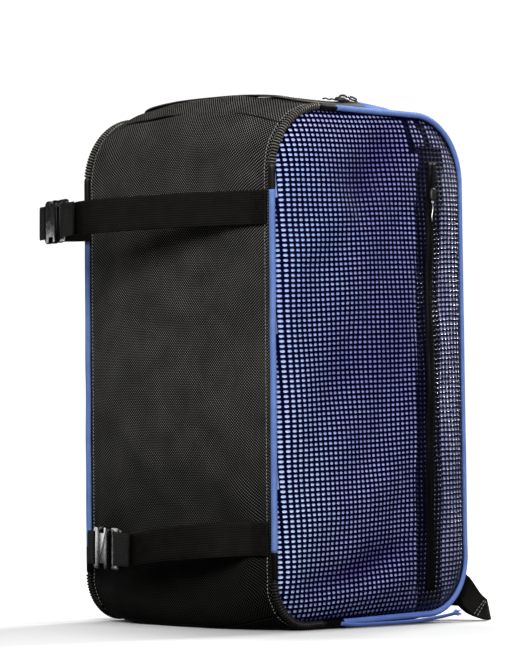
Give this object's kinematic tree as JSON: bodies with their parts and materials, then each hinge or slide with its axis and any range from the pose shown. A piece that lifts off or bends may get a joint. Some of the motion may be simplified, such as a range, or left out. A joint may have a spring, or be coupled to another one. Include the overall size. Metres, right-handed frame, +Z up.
{
  "type": "dive duffel bag",
  "caption": "Upright dive duffel and backpack: black nylon gusset, blue mesh sides with piped seams and corner guards, buckled front straps for fins, shoulder straps.",
  "frame": {"origin": "on the floor, in the middle of the flat bottom panel that the bag stands on", "axes": "+Z up along the bag, -Y the front with the two buckled straps, +Y the back with the shoulder straps, +X the mesh side with the loose piping end"},
  "size_m": [0.3503, 0.4569, 0.6005],
  "materials": {
    "nylon": "black ballistic nylon, coarse basket weave, satin",
    "lining": "blue nylon lining behind the mesh",
    "mesh": "black coated square mesh",
    "piping": "light blue woven tape over a cord",
    "rubber": "black ribbed rubber",
    "webbing": "black polypropylene webbing",
    "pad": "black nylon over foam",
    "zip_tape": "black zip tape",
    "zip_coil": "black nylon zip coil",
    "plastic": "black acetal, satin",
    "steel": "plated zinc, bright",
    "black_metal": "black painted zinc"
  },
  "bodies": {
    "root": {"back_panel": "nylon", "bottom_panel": "nylon", "front_panel": "nylon", "guard_bottom_left": "rubber", "guard_bottom_right": "rubber", "guard_top_left": "rubber", "guard_top_right": "rubber", "main_zip_coil": "zip_coil", "main_zip_pull": "webbing", "main_zip_ring": "black_metal", "main_zip_slider": "black_metal", "main_zip_tab_left": "piping", "main_zip_tab_right": "piping", "main_zip_tape": "zip_tape", "piping_back_left": "piping", "piping_back_right": "piping", "piping_front_left": "piping", "piping_front_right": "piping", "piping_tail": "piping", "pocket_zip_pull_left": "steel", "pocket_zip_pull_right": "steel", "pocket_zip_slider_left": "black_metal", "pocket_zip_slider_right": "black_metal", "pocket_zip_tape_left": "zip_tape", "pocket_zip_tape_right": "zip_tape", "shoulder_lock_left": "plastic", "shoulder_lock_right": "plastic", "shoulder_loop_left": "webbing", "shoulder_loop_right": "webbing", "shoulder_pad_left": "pad", "shoulder_pad_right": "pad", "shoulder_webbing_left": "webbing", "shoulder_webbing_right": "webbing", "side_mesh_left": "mesh", "side_mesh_right": "mesh", "side_wall_left": "lining", "side_wall_right": "lining", "strap_lower_buckle_female": "plastic", "strap_lower_buckle_male": "plastic", "strap_lower_webbing_long": "webbing", "strap_lower_webbing_short": "webbing", "strap_upper_buckle_female": "plastic", "strap_upper_buckle_male": "plastic", "strap_upper_webbing_long": "webbing", "strap_upper_webbing_short": "webbing", "top_panel": "nylon"}
  },
  "joints": []
}
